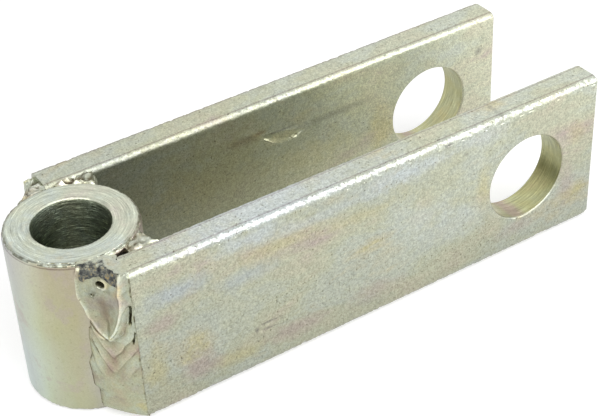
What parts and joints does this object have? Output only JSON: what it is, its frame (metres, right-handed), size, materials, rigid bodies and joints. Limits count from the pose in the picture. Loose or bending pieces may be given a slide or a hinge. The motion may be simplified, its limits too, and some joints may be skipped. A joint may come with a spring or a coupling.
{
  "type": "clevis rod end",
  "caption": "Welded clevis end: two flat-bar ears with in-line pin holes, welded either side of a round hub whose bore runs square to the pin.",
  "frame": {"origin": "on the axis of the hub's bore, halfway up the hub", "axes": "+Z along the hub's bore, +X from the hub towards the pin holes in the ears, +Y across the slot towards the left ear"},
  "size_m": [0.142, 0.0466, 0.041],
  "materials": {
    "zinc_plated_steel": "mill-finish steel under worn, pale yellow passivated zinc plating",
    "plated_weld_metal": "rippled weld metal under the same plating, with darker heat stains"
  },
  "bodies": {
    "root": {"hub": "zinc_plated_steel", "right_ear": "zinc_plated_steel", "left_ear": "zinc_plated_steel", "right_outer_weld": "plated_weld_metal", "left_outer_weld": "plated_weld_metal", "right_inner_weld": "plated_weld_metal", "left_inner_weld": "plated_weld_metal"}
  },
  "joints": []
}
